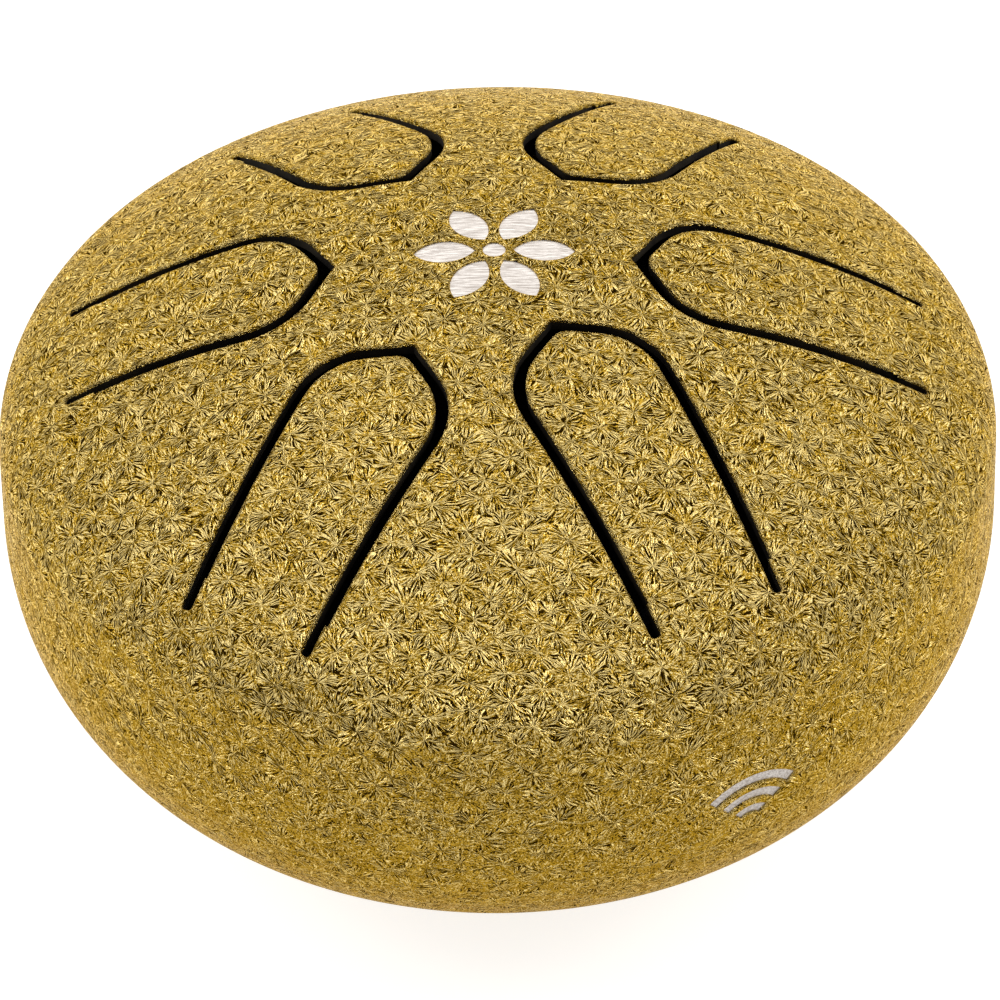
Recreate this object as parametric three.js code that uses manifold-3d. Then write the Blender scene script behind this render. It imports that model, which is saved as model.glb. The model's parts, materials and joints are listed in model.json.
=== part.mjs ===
// Pocket steel tongue drum. Millimetres, +Z up, origin on the drum's axis at the plane of the feet.
import * as THREE from 'three';
import { mergeVertices } from 'three/addons/utils/BufferGeometryUtils.js';
import Module from 'manifold-3d';

const wasm = await Module();
wasm.setup();

// ---------- driving dimensions ----------
const DRUM_RADIUS = 40; // outside, at the widest level
const SHEET = 1; // steel thickness
const FOOT_HEIGHT = 2;
const BOWL_DEPTH = 25.6; // widest level down to the outside of the flat floor
const BOWL_ARC_RADIUS = 22.4; // rounded lower corner
const WALL_ABOVE_SEAM = 3.3; // straight wall between the seam and the shoulder arc
const SHOULDER_RADIUS = 7.7;
const DOME_EDGE_SLOPE = 35.5; // degrees, where the dome runs into the shoulder
const SOUND_HOLE_RADIUS = 8;
const WELD_DEPTH = 0.75; // V groove filled by the seam weld
const WELD_HALF_WIDTH = 0.7;

const SLOT_WIDTH = 1;
const ARCH_HALF_WIDTH = 6.55; // outside the slot, where the straight legs start
const ARCH_CORNER_RADIUS = 6.1; // between a flank of the pointed tip and a leg
const TIP_FLANK_ANGLE = 61; // degrees, from the tongue's axis to each flank
const TONGUE_TIP_RADIUS = 1.5; // the opening's tip is sharp, the tongue's is rounded
const LEG_TAPER = 0.035; // half width lost per mm of leg
const KERF_LENGTH = 2.3; // narrower tuning cut that lengthens each leg
const KERF_STEP_LEFT = 0.25;
const KERF_STEP_RIGHT = 0.15;
const ROOT_GAP = 0.05; // parting line between a tongue and the shell it grows out of

const MARK_DEPTH = 0.15; // coating missing over the bare steel marks
const ROSETTE_PETALS = 6;
const PETAL_INNER_RADIUS = 1.5;
const PETAL_OUTER_RADIUS = 6.4;
const PETAL_HALF_WIDTH = 1.35;
const ROSETTE_CENTRE_RADIUS = 0.9;
const MARK_TOOL_REACH = 3; // how far the mark tools reach to each side of the surface they cut

const SIDE_MARK_AZIMUTH = -61; // degrees
const SIDE_MARK_DROP = 9; // centre of the arcs below the seam
const SIDE_MARK_ARC_RADII = [1.6, 3.3, 5.0];
const SIDE_MARK_STROKE = 0.9;
const SIDE_MARK_HALF_ANGLE = 45; // degrees

const FOOT_COUNT = 3;
const FOOT_CIRCLE_RADIUS = 13.5;
const FOOT_RADIUS = 3.2;
const FOOT_REST_RADIUS = 2.6;
const FOOT_NECK_RADIUS = 1.5;
const FOOT_NECK_CLEARANCE = 0.05;
const FOOT_BARB_RADIUS = 2;
const FOOT_BARB_HEIGHT = 1.4;
const FOOT_BARB_TIP_RADIUS = 1;
const FOOT_FIRST_AZIMUTH = 30; // degrees

// ---------- how finely round stretches are divided ----------
const TURN_SEGMENTS = 96; // facets round the axis, the same for every turned piece
const SHOULDER_STEPS = 7;
const DOME_STEPS = 10;
const BOWL_STEPS = 12;
const SLOT_ARC_STEPS = 12;
const PETAL_STEPS = 6;
const DISK_STEPS = 20;
const STROKE_STEPS = 8;
const FOOT_SEGMENTS = 36;
const FOOT_CORNER_STEPS = 5;

// One entry per tongue: direction from the centre, radius of the slot's tip, radius of its legs' ends.
const TONGUES = [
  { name: 'tongue_1', azimuth: -62, tip: 9.25, end: 35.6 },
  { name: 'tongue_2', azimuth: -1, tip: 10.8, end: 34.1 },
  { name: 'tongue_3', azimuth: 61.5, tip: 11.6, end: 31.3 },
  { name: 'tongue_4', azimuth: 121.5, tip: 12.6, end: 31.3 },
  { name: 'tongue_5', azimuth: 180, tip: 12.6, end: 34.1 },
  { name: 'tongue_6', azimuth: 238, tip: 12.1, end: 37.0 },
];

// ---------- derived levels ----------
const FLOOR_LEVEL = FOOT_HEIGHT;
const SEAM_LEVEL = FLOOR_LEVEL + BOWL_DEPTH;
const SHOULDER_LEVEL = SEAM_LEVEL + WALL_ABOVE_SEAM;
const EDGE_SLOPE = THREE.MathUtils.degToRad(DOME_EDGE_SLOPE);
const SHOULDER_CENTRE_RADIUS = DRUM_RADIUS - SHOULDER_RADIUS;
const DOME_EDGE_RADIUS = SHOULDER_CENTRE_RADIUS + SHOULDER_RADIUS * Math.sin(EDGE_SLOPE);
const DOME_SPHERE_RADIUS = DOME_EDGE_RADIUS / Math.sin(EDGE_SLOPE);
const DOME_SPHERE_LEVEL = SHOULDER_LEVEL + (SHOULDER_RADIUS - DOME_SPHERE_RADIUS) * Math.cos(EDGE_SLOPE);
const TOP_LEVEL = DOME_SPHERE_LEVEL + DOME_SPHERE_RADIUS;
const TOOL_HEIGHT = TOP_LEVEL + SHOULDER_RADIUS; // the tools that cut down through the dome start clear of it

// ---------- solids ----------
const SAME_POINT = 1e-5;

function solid(geometry) {
  geometry.deleteAttribute('normal');
  geometry.deleteAttribute('uv');
  const merged = mergeVertices(geometry, SAME_POINT);
  const index = merged.index.array;
  const triangles = [];
  for (let i = 0; i < index.length; i += 3) {
    const [a, b, c] = [index[i], index[i + 1], index[i + 2]];
    if (a !== b && b !== c && c !== a) triangles.push(a, b, c);
  }
  const mesh = new wasm.Mesh({
    numProp: 3,
    vertProperties: new Float32Array(merged.attributes.position.array),
    triVerts: new Uint32Array(triangles),
  });
  return new wasm.Manifold(mesh);
}

function arcPoints(centreX, centreY, radius, from, to, steps) {
  return Array.from({ length: steps + 1 }, (_, i) => {
    const angle = from + ((to - from) * i) / steps;
    return new THREE.Vector2(centreX + radius * Math.cos(angle), centreY + radius * Math.sin(angle));
  });
}

// Profiles run anticlockwise in (radius, height), so the lathe's faces point outwards.
function turned(profile, segments = TURN_SEGMENTS) {
  const geometry = new THREE.LatheGeometry(profile, segments);
  geometry.rotateX(Math.PI / 2);
  return solid(geometry);
}

function prism(shape, bottom, top, curveSegments) {
  const geometry = new THREE.ExtrudeGeometry(shape, {
    depth: top - bottom,
    bevelEnabled: false,
    curveSegments,
  });
  geometry.translate(0, 0, bottom);
  return solid(geometry);
}

function turnedAbout(geometrySolid, degrees) {
  const angle = THREE.MathUtils.degToRad(degrees);
  return moved(geometrySolid, new THREE.Matrix4().makeRotationZ(angle));
}

function moved(source, matrix) {
  const geometry = toGeometry(source);
  geometry.applyMatrix4(matrix);
  return solid(geometry);
}

function toGeometry(source) {
  const mesh = source.getMesh();
  const geometry = new THREE.BufferGeometry();
  const positions = new Float32Array(mesh.numVert * 3);
  for (let v = 0; v < mesh.numVert; v++) {
    for (let k = 0; k < 3; k++) positions[v * 3 + k] = mesh.vertProperties[v * mesh.numProp + k];
  }
  geometry.setAttribute('position', new THREE.BufferAttribute(positions, 3));
  geometry.setIndex(new THREE.BufferAttribute(new Uint32Array(mesh.triVerts), 1));
  geometry.computeVertexNormals();
  return geometry;
}

// ---------- shell profiles ----------
// Dome and shoulder from the bottom of the shoulder up to the axis, set in from the outside.
function domePoints(inset) {
  const shoulder = arcPoints(
    SHOULDER_CENTRE_RADIUS, SHOULDER_LEVEL, SHOULDER_RADIUS - inset, 0, Math.PI / 2 - EDGE_SLOPE, SHOULDER_STEPS);
  const dome = arcPoints(
    0, DOME_SPHERE_LEVEL, DOME_SPHERE_RADIUS - inset, Math.PI / 2 - EDGE_SLOPE, Math.PI / 2, DOME_STEPS);
  dome[dome.length - 1].x = 0;
  return [...shoulder, ...dome.slice(1)];
}

function upperShellProfile() {
  const outside = domePoints(0);
  const inside = domePoints(SHEET).reverse();
  const rim = [
    new THREE.Vector2(DRUM_RADIUS - SHEET, SEAM_LEVEL),
    new THREE.Vector2(DRUM_RADIUS - WELD_DEPTH, SEAM_LEVEL),
    new THREE.Vector2(DRUM_RADIUS, SEAM_LEVEL + WELD_HALF_WIDTH),
  ];
  return [...inside, ...rim, ...outside];
}

function bowlPoints(inset) {
  const centreLevel = FLOOR_LEVEL + BOWL_ARC_RADIUS;
  return arcPoints(
    DRUM_RADIUS - BOWL_ARC_RADIUS, centreLevel, BOWL_ARC_RADIUS - inset, -Math.PI / 2, 0, BOWL_STEPS);
}

function lowerShellProfile() {
  const outside = bowlPoints(0);
  const inside = bowlPoints(SHEET).reverse();
  const profile = [
    new THREE.Vector2(SOUND_HOLE_RADIUS, FLOOR_LEVEL),
    ...outside,
    new THREE.Vector2(DRUM_RADIUS, SEAM_LEVEL - WELD_HALF_WIDTH),
    new THREE.Vector2(DRUM_RADIUS - WELD_DEPTH, SEAM_LEVEL),
    new THREE.Vector2(DRUM_RADIUS - SHEET, SEAM_LEVEL),
    ...inside,
    new THREE.Vector2(SOUND_HOLE_RADIUS, FLOOR_LEVEL + SHEET),
  ];
  return [...profile, profile[0].clone()];
}

function weldProfile() {
  const profile = [
    new THREE.Vector2(DRUM_RADIUS - WELD_DEPTH, SEAM_LEVEL),
    new THREE.Vector2(DRUM_RADIUS, SEAM_LEVEL - WELD_HALF_WIDTH),
    new THREE.Vector2(DRUM_RADIUS, SEAM_LEVEL + WELD_HALF_WIDTH),
  ];
  return [...profile, profile[0].clone()];
}

// ---------- tongue outlines, in (distance from the axis, sideways) ----------
const FLANK_ANGLE = THREE.MathUtils.degToRad(TIP_FLANK_ANGLE);

// Distance from the outer edge's tip to where its legs start.
const ARCH_LENGTH =
  (ARCH_CORNER_RADIUS + (ARCH_HALF_WIDTH - ARCH_CORNER_RADIUS) * Math.cos(FLANK_ANGLE)) / Math.sin(FLANK_ANGLE);

// Tip with two straight flanks, each run into its leg by an arc; inset moves it into the tongue, and
// tipRadius rounds its point.
function archedTip(shape, tongue, inset, tipRadius) {
  const base = tongue.tip + ARCH_LENGTH;
  const centre = ARCH_HALF_WIDTH - ARCH_CORNER_RADIUS;
  const radius = ARCH_CORNER_RADIUS - inset;
  const flankNormal = Math.PI / 2 + FLANK_ANGLE;
  shape.lineTo(base, -centre - radius);
  shape.absarc(base, -centre, radius, -Math.PI / 2, -flankNormal, true);
  const tipCentre = tongue.tip + (inset + tipRadius) / Math.sin(FLANK_ANGLE);
  if (tipRadius > 0) {
    shape.absarc(tipCentre, 0, tipRadius, -flankNormal, -Math.PI * 2 + flankNormal, true);
  } else {
    shape.lineTo(tipCentre, 0);
  }
  shape.absarc(base, centre, radius, flankNormal, Math.PI / 2, true);
}

function legHalfWidth(tongue, distance) {
  return ARCH_HALF_WIDTH - LEG_TAPER * (distance - tongue.tip - ARCH_LENGTH);
}

// The whole opening in the shell: slot and tongue together.
function openingShape(tongue) {
  const step = tongue.end - KERF_LENGTH;
  const stepWidth = legHalfWidth(tongue, step);
  const endWidth = legHalfWidth(tongue, tongue.end);
  const shape = new THREE.Shape();
  shape.moveTo(tongue.end, -endWidth);
  archedTip(shape, tongue, 0, 0);
  shape.lineTo(step, stepWidth);
  shape.lineTo(step, stepWidth - KERF_STEP_LEFT);
  shape.lineTo(tongue.end, endWidth - KERF_STEP_LEFT);
  shape.closePath();
  return shape;
}

function tongueShape(tongue) {
  const root = tongue.end - ROOT_GAP;
  const step = tongue.end - KERF_LENGTH;
  const stepWidth = legHalfWidth(tongue, step) - SLOT_WIDTH;
  const rootWidth = legHalfWidth(tongue, root) - SLOT_WIDTH;
  const shape = new THREE.Shape();
  shape.moveTo(root, -rootWidth - KERF_STEP_RIGHT);
  shape.lineTo(step, -stepWidth - KERF_STEP_RIGHT);
  shape.lineTo(step, -stepWidth);
  archedTip(shape, tongue, SLOT_WIDTH, TONGUE_TIP_RADIUS);
  shape.lineTo(root, rootWidth);
  shape.closePath();
  return shape;
}

// ---------- bare steel marks ----------
function petalShape() {
  const length = PETAL_OUTER_RADIUS - PETAL_INNER_RADIUS;
  const middle = (PETAL_OUTER_RADIUS + PETAL_INNER_RADIUS) / 2;
  const radius = (length * length / 4 + PETAL_HALF_WIDTH * PETAL_HALF_WIDTH) / (2 * PETAL_HALF_WIDTH);
  const offset = radius - PETAL_HALF_WIDTH;
  const half = Math.asin(length / 2 / radius);
  const shape = new THREE.Shape();
  shape.absarc(middle, offset, radius, -Math.PI / 2 - half, -Math.PI / 2 + half, false);
  shape.absarc(middle, -offset, radius, Math.PI / 2 - half, Math.PI / 2 + half, false);
  return shape;
}

function strokeArcShape(radius) {
  const half = THREE.MathUtils.degToRad(SIDE_MARK_HALF_ANGLE);
  const outer = radius + SIDE_MARK_STROKE / 2;
  const inner = radius - SIDE_MARK_STROKE / 2;
  const shape = new THREE.Shape();
  shape.absarc(0, 0, outer, Math.PI / 2 - half, Math.PI / 2 + half, false);
  shape.absarc(0, 0, inner, Math.PI / 2 + half, Math.PI / 2 - half, true);
  return shape;
}

// What the mark tools must leave alone: everything deeper than the coating.
function upperCore() {
  return turned([
    new THREE.Vector2(0, SEAM_LEVEL),
    new THREE.Vector2(DRUM_RADIUS - MARK_DEPTH, SEAM_LEVEL),
    ...domePoints(MARK_DEPTH),
  ]);
}

function lowerCore() {
  return turned([
    new THREE.Vector2(0, FLOOR_LEVEL + MARK_DEPTH),
    ...bowlPoints(MARK_DEPTH),
    new THREE.Vector2(DRUM_RADIUS - MARK_DEPTH, SEAM_LEVEL),
    new THREE.Vector2(0, SEAM_LEVEL),
  ]);
}

// A flower of pointed petals round a disk, cut straight down into the top of the dome.
function rosetteTool() {
  const bottom = TOP_LEVEL - MARK_TOOL_REACH;
  const disk = new THREE.Shape();
  disk.absarc(0, 0, ROSETTE_CENTRE_RADIUS, 0, Math.PI * 2, false);
  const petal = prism(petalShape(), bottom, TOOL_HEIGHT, PETAL_STEPS);
  let tool = prism(disk, bottom, TOOL_HEIGHT, DISK_STEPS);
  for (let i = 0; i < ROSETTE_PETALS; i++) tool = tool.add(turnedAbout(petal, (360 / ROSETTE_PETALS) * i));
  return tool;
}

// Three nested arcs on the bowl's wall, cut along the wall's outward direction.
function sideMarkTool() {
  const angle = THREE.MathUtils.degToRad(SIDE_MARK_AZIMUTH);
  const across = new THREE.Vector3(-Math.sin(angle), Math.cos(angle), 0);
  const up = new THREE.Vector3(0, 0, 1);
  const out = new THREE.Vector3(Math.cos(angle), Math.sin(angle), 0);
  const matrix = new THREE.Matrix4().makeBasis(across, up, out);
  matrix.setPosition(0, 0, SEAM_LEVEL - SIDE_MARK_DROP);
  const inner = DRUM_RADIUS - MARK_TOOL_REACH;
  const outer = DRUM_RADIUS + MARK_TOOL_REACH;
  const strokes = SIDE_MARK_ARC_RADII.map((radius) => prism(strokeArcShape(radius), inner, outer, STROKE_STEPS));
  return moved(strokes.reduce((sum, next) => sum.add(next)), matrix);
}

// ---------- pieces ----------
function domeSheet() {
  return turned(upperShellProfile()).subtract(rosetteTool().subtract(upperCore()));
}

function upperShell(sheet) {
  let shell = sheet;
  for (const tongue of TONGUES) {
    const opening = prism(openingShape(tongue), SHOULDER_LEVEL, TOOL_HEIGHT, SLOT_ARC_STEPS);
    shell = shell.subtract(turnedAbout(opening, tongue.azimuth));
  }
  return shell;
}

function tonguePlate(sheet, tongue) {
  const cutter = prism(tongueShape(tongue), SHOULDER_LEVEL, TOOL_HEIGHT, SLOT_ARC_STEPS);
  return sheet.intersect(turnedAbout(cutter, tongue.azimuth));
}

function footPosition(index) {
  const angle = THREE.MathUtils.degToRad(FOOT_FIRST_AZIMUTH + (360 / FOOT_COUNT) * index);
  return new THREE.Vector3(FOOT_CIRCLE_RADIUS * Math.cos(angle), FOOT_CIRCLE_RADIUS * Math.sin(angle), 0);
}

function lowerShell() {
  const drill = new THREE.Shape();
  drill.absarc(0, 0, FOOT_NECK_RADIUS + FOOT_NECK_CLEARANCE, 0, Math.PI * 2, false);
  let shell = turned(lowerShellProfile()).subtract(sideMarkTool().subtract(lowerCore()));
  for (let i = 0; i < FOOT_COUNT; i++) {
    const at = footPosition(i);
    const hole = moved(
      prism(drill, 0, FLOOR_LEVEL + 2 * SHEET, FOOT_SEGMENTS),
      new THREE.Matrix4().makeTranslation(at.x, at.y, 0));
    shell = shell.subtract(hole);
  }
  return shell;
}

// Push-in bumper: rounded head under the floor, neck through it, barb inside the bowl.
function rubberFoot(index) {
  const insideFloor = FLOOR_LEVEL + SHEET;
  const corner = FOOT_RADIUS - FOOT_REST_RADIUS;
  const profile = [
    new THREE.Vector2(0, 0),
    new THREE.Vector2(FOOT_REST_RADIUS, 0),
    ...arcPoints(FOOT_REST_RADIUS, corner, corner, -Math.PI / 2, 0, FOOT_CORNER_STEPS).slice(1),
    new THREE.Vector2(FOOT_RADIUS, FLOOR_LEVEL),
    new THREE.Vector2(FOOT_NECK_RADIUS, FLOOR_LEVEL),
    new THREE.Vector2(FOOT_NECK_RADIUS, insideFloor),
    new THREE.Vector2(FOOT_BARB_RADIUS, insideFloor),
    new THREE.Vector2(FOOT_BARB_TIP_RADIUS, insideFloor + FOOT_BARB_HEIGHT),
    new THREE.Vector2(0, insideFloor + FOOT_BARB_HEIGHT),
  ];
  const at = footPosition(index);
  return moved(turned(profile, FOOT_SEGMENTS), new THREE.Matrix4().makeTranslation(at.x, at.y, 0));
}

// ---------- materials and assembly ----------
function goldCoat() {
  return new THREE.MeshStandardMaterial({ color: 0xb08a3c, roughness: 0.45, metalness: 0.6 });
}

function blackRubber() {
  return new THREE.MeshStandardMaterial({ color: 0x18181a, roughness: 0.85, metalness: 0 });
}

const drum = new THREE.Group();
drum.name = 'tongue_drum';

function addPiece(name, source, material) {
  const mesh = new THREE.Mesh(toGeometry(source), material);
  mesh.name = name;
  drum.add(mesh);
}

const sheet = domeSheet();
addPiece('upper_shell', upperShell(sheet), goldCoat());
for (const tongue of TONGUES) addPiece(tongue.name, tonguePlate(sheet, tongue), goldCoat());
addPiece('seam_weld', turned(weldProfile()), goldCoat());
addPiece('lower_shell', lowerShell(), goldCoat());
for (let i = 0; i < FOOT_COUNT; i++) addPiece(`foot_${i + 1}`, rubberFoot(i), blackRubber());

export default drum;
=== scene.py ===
"""Looks of the pocket steel tongue drum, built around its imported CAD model."""

import json
import math

import bmesh
import bpy
import numpy as np
from mathutils import Matrix, Vector
from mathutils.geometry import delaunay_2d_cdt

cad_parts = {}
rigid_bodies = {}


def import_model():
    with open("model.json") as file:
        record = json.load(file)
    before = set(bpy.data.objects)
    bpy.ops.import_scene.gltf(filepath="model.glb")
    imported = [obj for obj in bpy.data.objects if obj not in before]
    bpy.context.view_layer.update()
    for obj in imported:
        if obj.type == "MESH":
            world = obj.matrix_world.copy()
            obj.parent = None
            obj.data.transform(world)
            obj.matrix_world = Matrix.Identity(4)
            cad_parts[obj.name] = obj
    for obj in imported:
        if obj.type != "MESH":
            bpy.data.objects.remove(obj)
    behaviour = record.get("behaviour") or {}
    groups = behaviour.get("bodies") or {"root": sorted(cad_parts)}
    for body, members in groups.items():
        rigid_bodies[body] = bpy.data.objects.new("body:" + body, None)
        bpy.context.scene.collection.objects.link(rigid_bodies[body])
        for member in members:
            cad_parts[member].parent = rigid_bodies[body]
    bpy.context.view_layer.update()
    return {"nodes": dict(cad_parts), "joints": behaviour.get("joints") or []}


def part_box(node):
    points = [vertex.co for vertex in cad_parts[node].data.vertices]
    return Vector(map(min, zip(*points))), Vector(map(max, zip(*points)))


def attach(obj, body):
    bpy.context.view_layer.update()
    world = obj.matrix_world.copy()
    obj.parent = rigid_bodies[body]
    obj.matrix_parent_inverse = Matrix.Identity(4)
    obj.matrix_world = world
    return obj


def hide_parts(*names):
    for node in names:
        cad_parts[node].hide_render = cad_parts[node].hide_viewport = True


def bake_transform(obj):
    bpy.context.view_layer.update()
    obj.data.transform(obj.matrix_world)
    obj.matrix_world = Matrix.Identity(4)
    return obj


MM = 0.001

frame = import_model()

# ---------- dimensions ----------
SHEET = 1.0 * MM
SHOULDER_RADIUS = 7.7 * MM
DOME_EDGE_SLOPE = math.radians(35.5)
BOWL_ARC_RADIUS = 22.4 * MM
SOUND_HOLE_RADIUS = 8.0 * MM
WELD_HALF_WIDTH = 0.7 * MM

SLOT_WIDTH = 1.0 * MM
ARCH_HALF_WIDTH = 6.55 * MM
ARCH_CORNER_RADIUS = 6.1 * MM
TIP_FLANK_ANGLE = math.radians(61)
LEG_TAPER = 0.035
KERF_LENGTH = 2.3 * MM
KERF_STEP_LEFT = 0.25 * MM
KERF_STEP_RIGHT = 0.15 * MM
SLOT_END_RADIUS = 0.3 * MM
TONGUE_TIP_RADIUS = 1.5 * MM
EDGE_ROUNDING = 0.24 * MM
EDGE_STEPS = 4
WALL_COAT_DEPTH = 0.32 * MM  # how far the coating reaches down the slots' walls; below that they are painted near-black as shade

FOOT_RECESS_DEPTH = 0.35 * MM
FOOT_RECESS_FLOOR = 0.9 * MM
FOOT_RECESS_RIM = 1.2 * MM
FOOT_LOW_CORNER = 0.6 * MM
FOOT_HIGH_CORNER = 0.3 * MM
FOOT_NECK_RADIUS = 1.5 * MM
FOOT_BARB_RADIUS = 2.0 * MM
FOOT_BARB_RISE = 0.1 * MM
FOOT_STEM_TAPER = 0.7

BEAD_RADIUS = 0.45 * MM  # the weld's bead on the inside
BEAD_SHIFT = 0.1 * MM

MARK_DEPTH = 0.15 * MM
MARK_EDGE = 0.12 * MM
MARK_LIP = MARK_EDGE * 0.3  # where the edge is cut back once, to round it
MARK_WALL_EXTRA = 0.05 * MM  # how far a mark's wall goes on below the bare steel
STEEL_OVERLAP = 0.03 * MM  # how far the bare steel goes on behind that wall
ROSETTE_PETALS = 6
PETAL_INNER_RADIUS = 1.5 * MM
PETAL_OUTER_RADIUS = 6.4 * MM
PETAL_HALF_WIDTH = 1.35 * MM
ROSETTE_CENTRE_RADIUS = 0.9 * MM

SIDE_MARK_AZIMUTH = math.radians(-61)
SIDE_MARK_DROP = 9.0 * MM
SIDE_MARK_ARC_RADII = (1.6 * MM, 3.3 * MM, 5.0 * MM)
SIDE_MARK_STROKE = 0.9 * MM
SIDE_MARK_HALF_ANGLE = math.radians(45)
SIDE_MARK_PATCH_HEIGHT = 6.4 * MM
SIDE_MARK_PATCH_HALF_COLUMNS = 8

# wrinkle finish, in millimetres where it has a size
STARS_PER_MM = 0.46
STAR_DRIFT = 0.6
DRIFT_PER_MM = 0.8
INNER_RIDGES = 5.6  # how finely the ridges divide close to a star's centre
OUTER_RIDGES = 13.5  # and further out
FORK_START = 0.45  # where the inner ridges start to give way to the outer ones
FORK_END = 0.75
RIDGE_BREAKS = 1.1  # how much the ridges change along their length
RIDGE_HEIGHT = 6.0
QUIET_SHARE = 0.45  # ridge height that is left in the quiet patches
SIDE_SHARE = 0.5  # and on the drum's upright sides
QUIET_PATCHES_PER_MM = 0.7
GRAIN_HEIGHT = 1.4
GRAINS_PER_MM = 7.0
CREASE_HEIGHT = 0.6
CREASE_HALF_WIDTH = 0.1
CREASE_PATCHES_PER_MM = 0.9
SWELL_HEIGHT = 0.8
SWELLS_PER_MM = 0.5
SEED_SPREAD = 40.0  # moves each star's ridges to their own place in the noise
VALLEY_SHADE_LOW = -0.42
VALLEY_SHADE_HIGH = -0.14
CREST_HIGHLIGHT_LOW = 0.2
CREST_HIGHLIGHT_HIGH = 0.46
PILLOW_HEIGHT = 1.8  # how far each star bulges, against the ridges
PILLOW_REACH = 1.2
COAT_DEPTH = 0.10 * MM

# colours, as red, green, blue, alpha
BODY_DARK = (0.46, 0.27, 0.022, 1)
BODY_LIGHT = (0.54, 0.33, 0.036, 1)
# painted highlight: cream glints on the wrinkles' crests
CREST_HIGHLIGHT = (1.0, 0.77, 0.30, 1)
# painted shade: near-black in the wrinkles' valleys
VALLEY_SHADE = (0.035, 0.016, 0.001, 1)
GRAZING_TINT = (1.0, 0.80, 0.42, 1)
STEEL_DARK = (0.42, 0.37, 0.33, 1)
STEEL_LIGHT = (0.74, 0.69, 0.64, 1)
STEEL_STAIN = (0.50, 0.45, 0.40, 1)
# painted shade: near-black for the shells' insides and the slots' walls below the coating
INSIDE_SHADE_DARK = (0.010, 0.008, 0.006, 1)
INSIDE_SHADE_LIGHT = (0.030, 0.024, 0.016, 1)
RUBBER_CLEAN = (0.018, 0.018, 0.02, 1)
RUBBER_DUSTY = (0.055, 0.053, 0.05, 1)
FLOOR_DARK = (0.60, 0.60, 0.60, 1)
FLOOR_LIGHT = (0.64, 0.64, 0.64, 1)

# how finely the pieces are meshed
TURN_SEGMENTS = 288
GRID_STEP = 0.8 * MM
PATCH_STEP = 0.35 * MM
ROSETTE_STEP = 0.5 * MM
SIDE_MARK_STEP = 0.3 * MM
OUTLINE_STEP = 0.6 * MM
ARC_STEP = math.radians(9)
SHOULDER_STEPS = 10
WALL_STEPS = 5
BOWL_WALL_STEPS = 4
BOWL_ARC_STEPS = 44
BOWL_FLOOR_STEPS = 8
WELD_STEPS = 4
BEAD_STEPS = 8
HOLE_EDGE_STEPS = 5
PETAL_STEPS = 12
DISK_STEPS = 24
STROKE_STEPS = 16
FOOT_LOW_STEPS = 6
FOOT_HIGH_STEPS = 4
SHARP_ANGLE = math.radians(48)
PLAN_CLEARANCE = 0.45  # gap between an outline and the points that fill it, in grid steps
PATCH_CLEARANCE = 0.5
SAME_POINT = 1e-6
PLAN_SAME_POINT = 1e-9
STRAIGHT_CORNER = math.pi - 1e-3  # a corner flatter than this gets no fillet
COATED = 0  # material places in a shell's mesh
# material place for the painted shade, on the insides and down the slots' walls
SHADE_PAINTED = 1
SHELL_OWNER = -1  # tongues own their triangles by number, from 0
LEAST_LEAN = 0.3  # keeps a grown outline from shooting out at a sharp corner

# studio, in metres and watts
FLOOR_GLOW = 0.8  # the floor's own light as the camera sees it
FLOOR_BOUNCE = 0.50  # and as the drum sees it
FRONT_GLOW = 0.3  # the room's light from in front
REAR_GLOW = 1.9  # and from behind
FADE_LOW = -0.1  # front light turns into rear light between these two, going backwards
FADE_HIGH = 0.75
HORIZON_SHARE = 0.4  # share of the room's light that is left at the horizon
HORIZON_TOP = 0.4  # and how far up it is whole again
FLOOR_HALF_SIDE = 3.0
SOFTBOX_REACH = 0.50
SOFTBOX_BACK = 0.05
SOFTBOX_LEVEL = 0.30
SOFTBOX_SIDE = 0.25
SOFTBOX_POWER = 1.0

CAMERA_DISTANCE = 16  # in drum radii
CAMERA_AIM_DROP = 0.108  # below the seam, in drum radii
CAMERA_ELEVATION = math.radians(39.98)
CAMERA_ROLL = math.radians(-1.09)
CAMERA_SENSOR = 36
CAMERA_LENS = 284.7
CAMERA_SHIFT_X = 0.0011
CAMERA_SHIFT_Y = -0.0023
CAMERA_CLIP_START = 0.01

# ---------- levels, from the CAD ----------
shell_low, shell_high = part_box("upper_shell")
bowl_low, bowl_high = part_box("lower_shell")
DRUM_RADIUS = (shell_high.x - shell_low.x) / 2
TOP_LEVEL = shell_high.z
SEAM_LEVEL = bowl_high.z
FLOOR_LEVEL = bowl_low.z

SHOULDER_CENTRE = DRUM_RADIUS - SHOULDER_RADIUS
DOME_EDGE = SHOULDER_CENTRE + SHOULDER_RADIUS * math.sin(DOME_EDGE_SLOPE)
DOME_SPHERE_RADIUS = DOME_EDGE / math.sin(DOME_EDGE_SLOPE)
DOME_SPHERE_LEVEL = TOP_LEVEL - DOME_SPHERE_RADIUS
SHOULDER_LEVEL = DOME_SPHERE_LEVEL + (DOME_SPHERE_RADIUS - SHOULDER_RADIUS) * math.cos(DOME_EDGE_SLOPE)
BOWL_ARC_LEVEL = FLOOR_LEVEL + BOWL_ARC_RADIUS
BOWL_STRAIGHT = SEAM_LEVEL - BOWL_ARC_LEVEL  # how far the bowl's wall goes down before it turns under
PLAN_RADIUS = DRUM_RADIUS - 1.8 * MM  # outside this the shell is turned, inside it is meshed in plan


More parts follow.
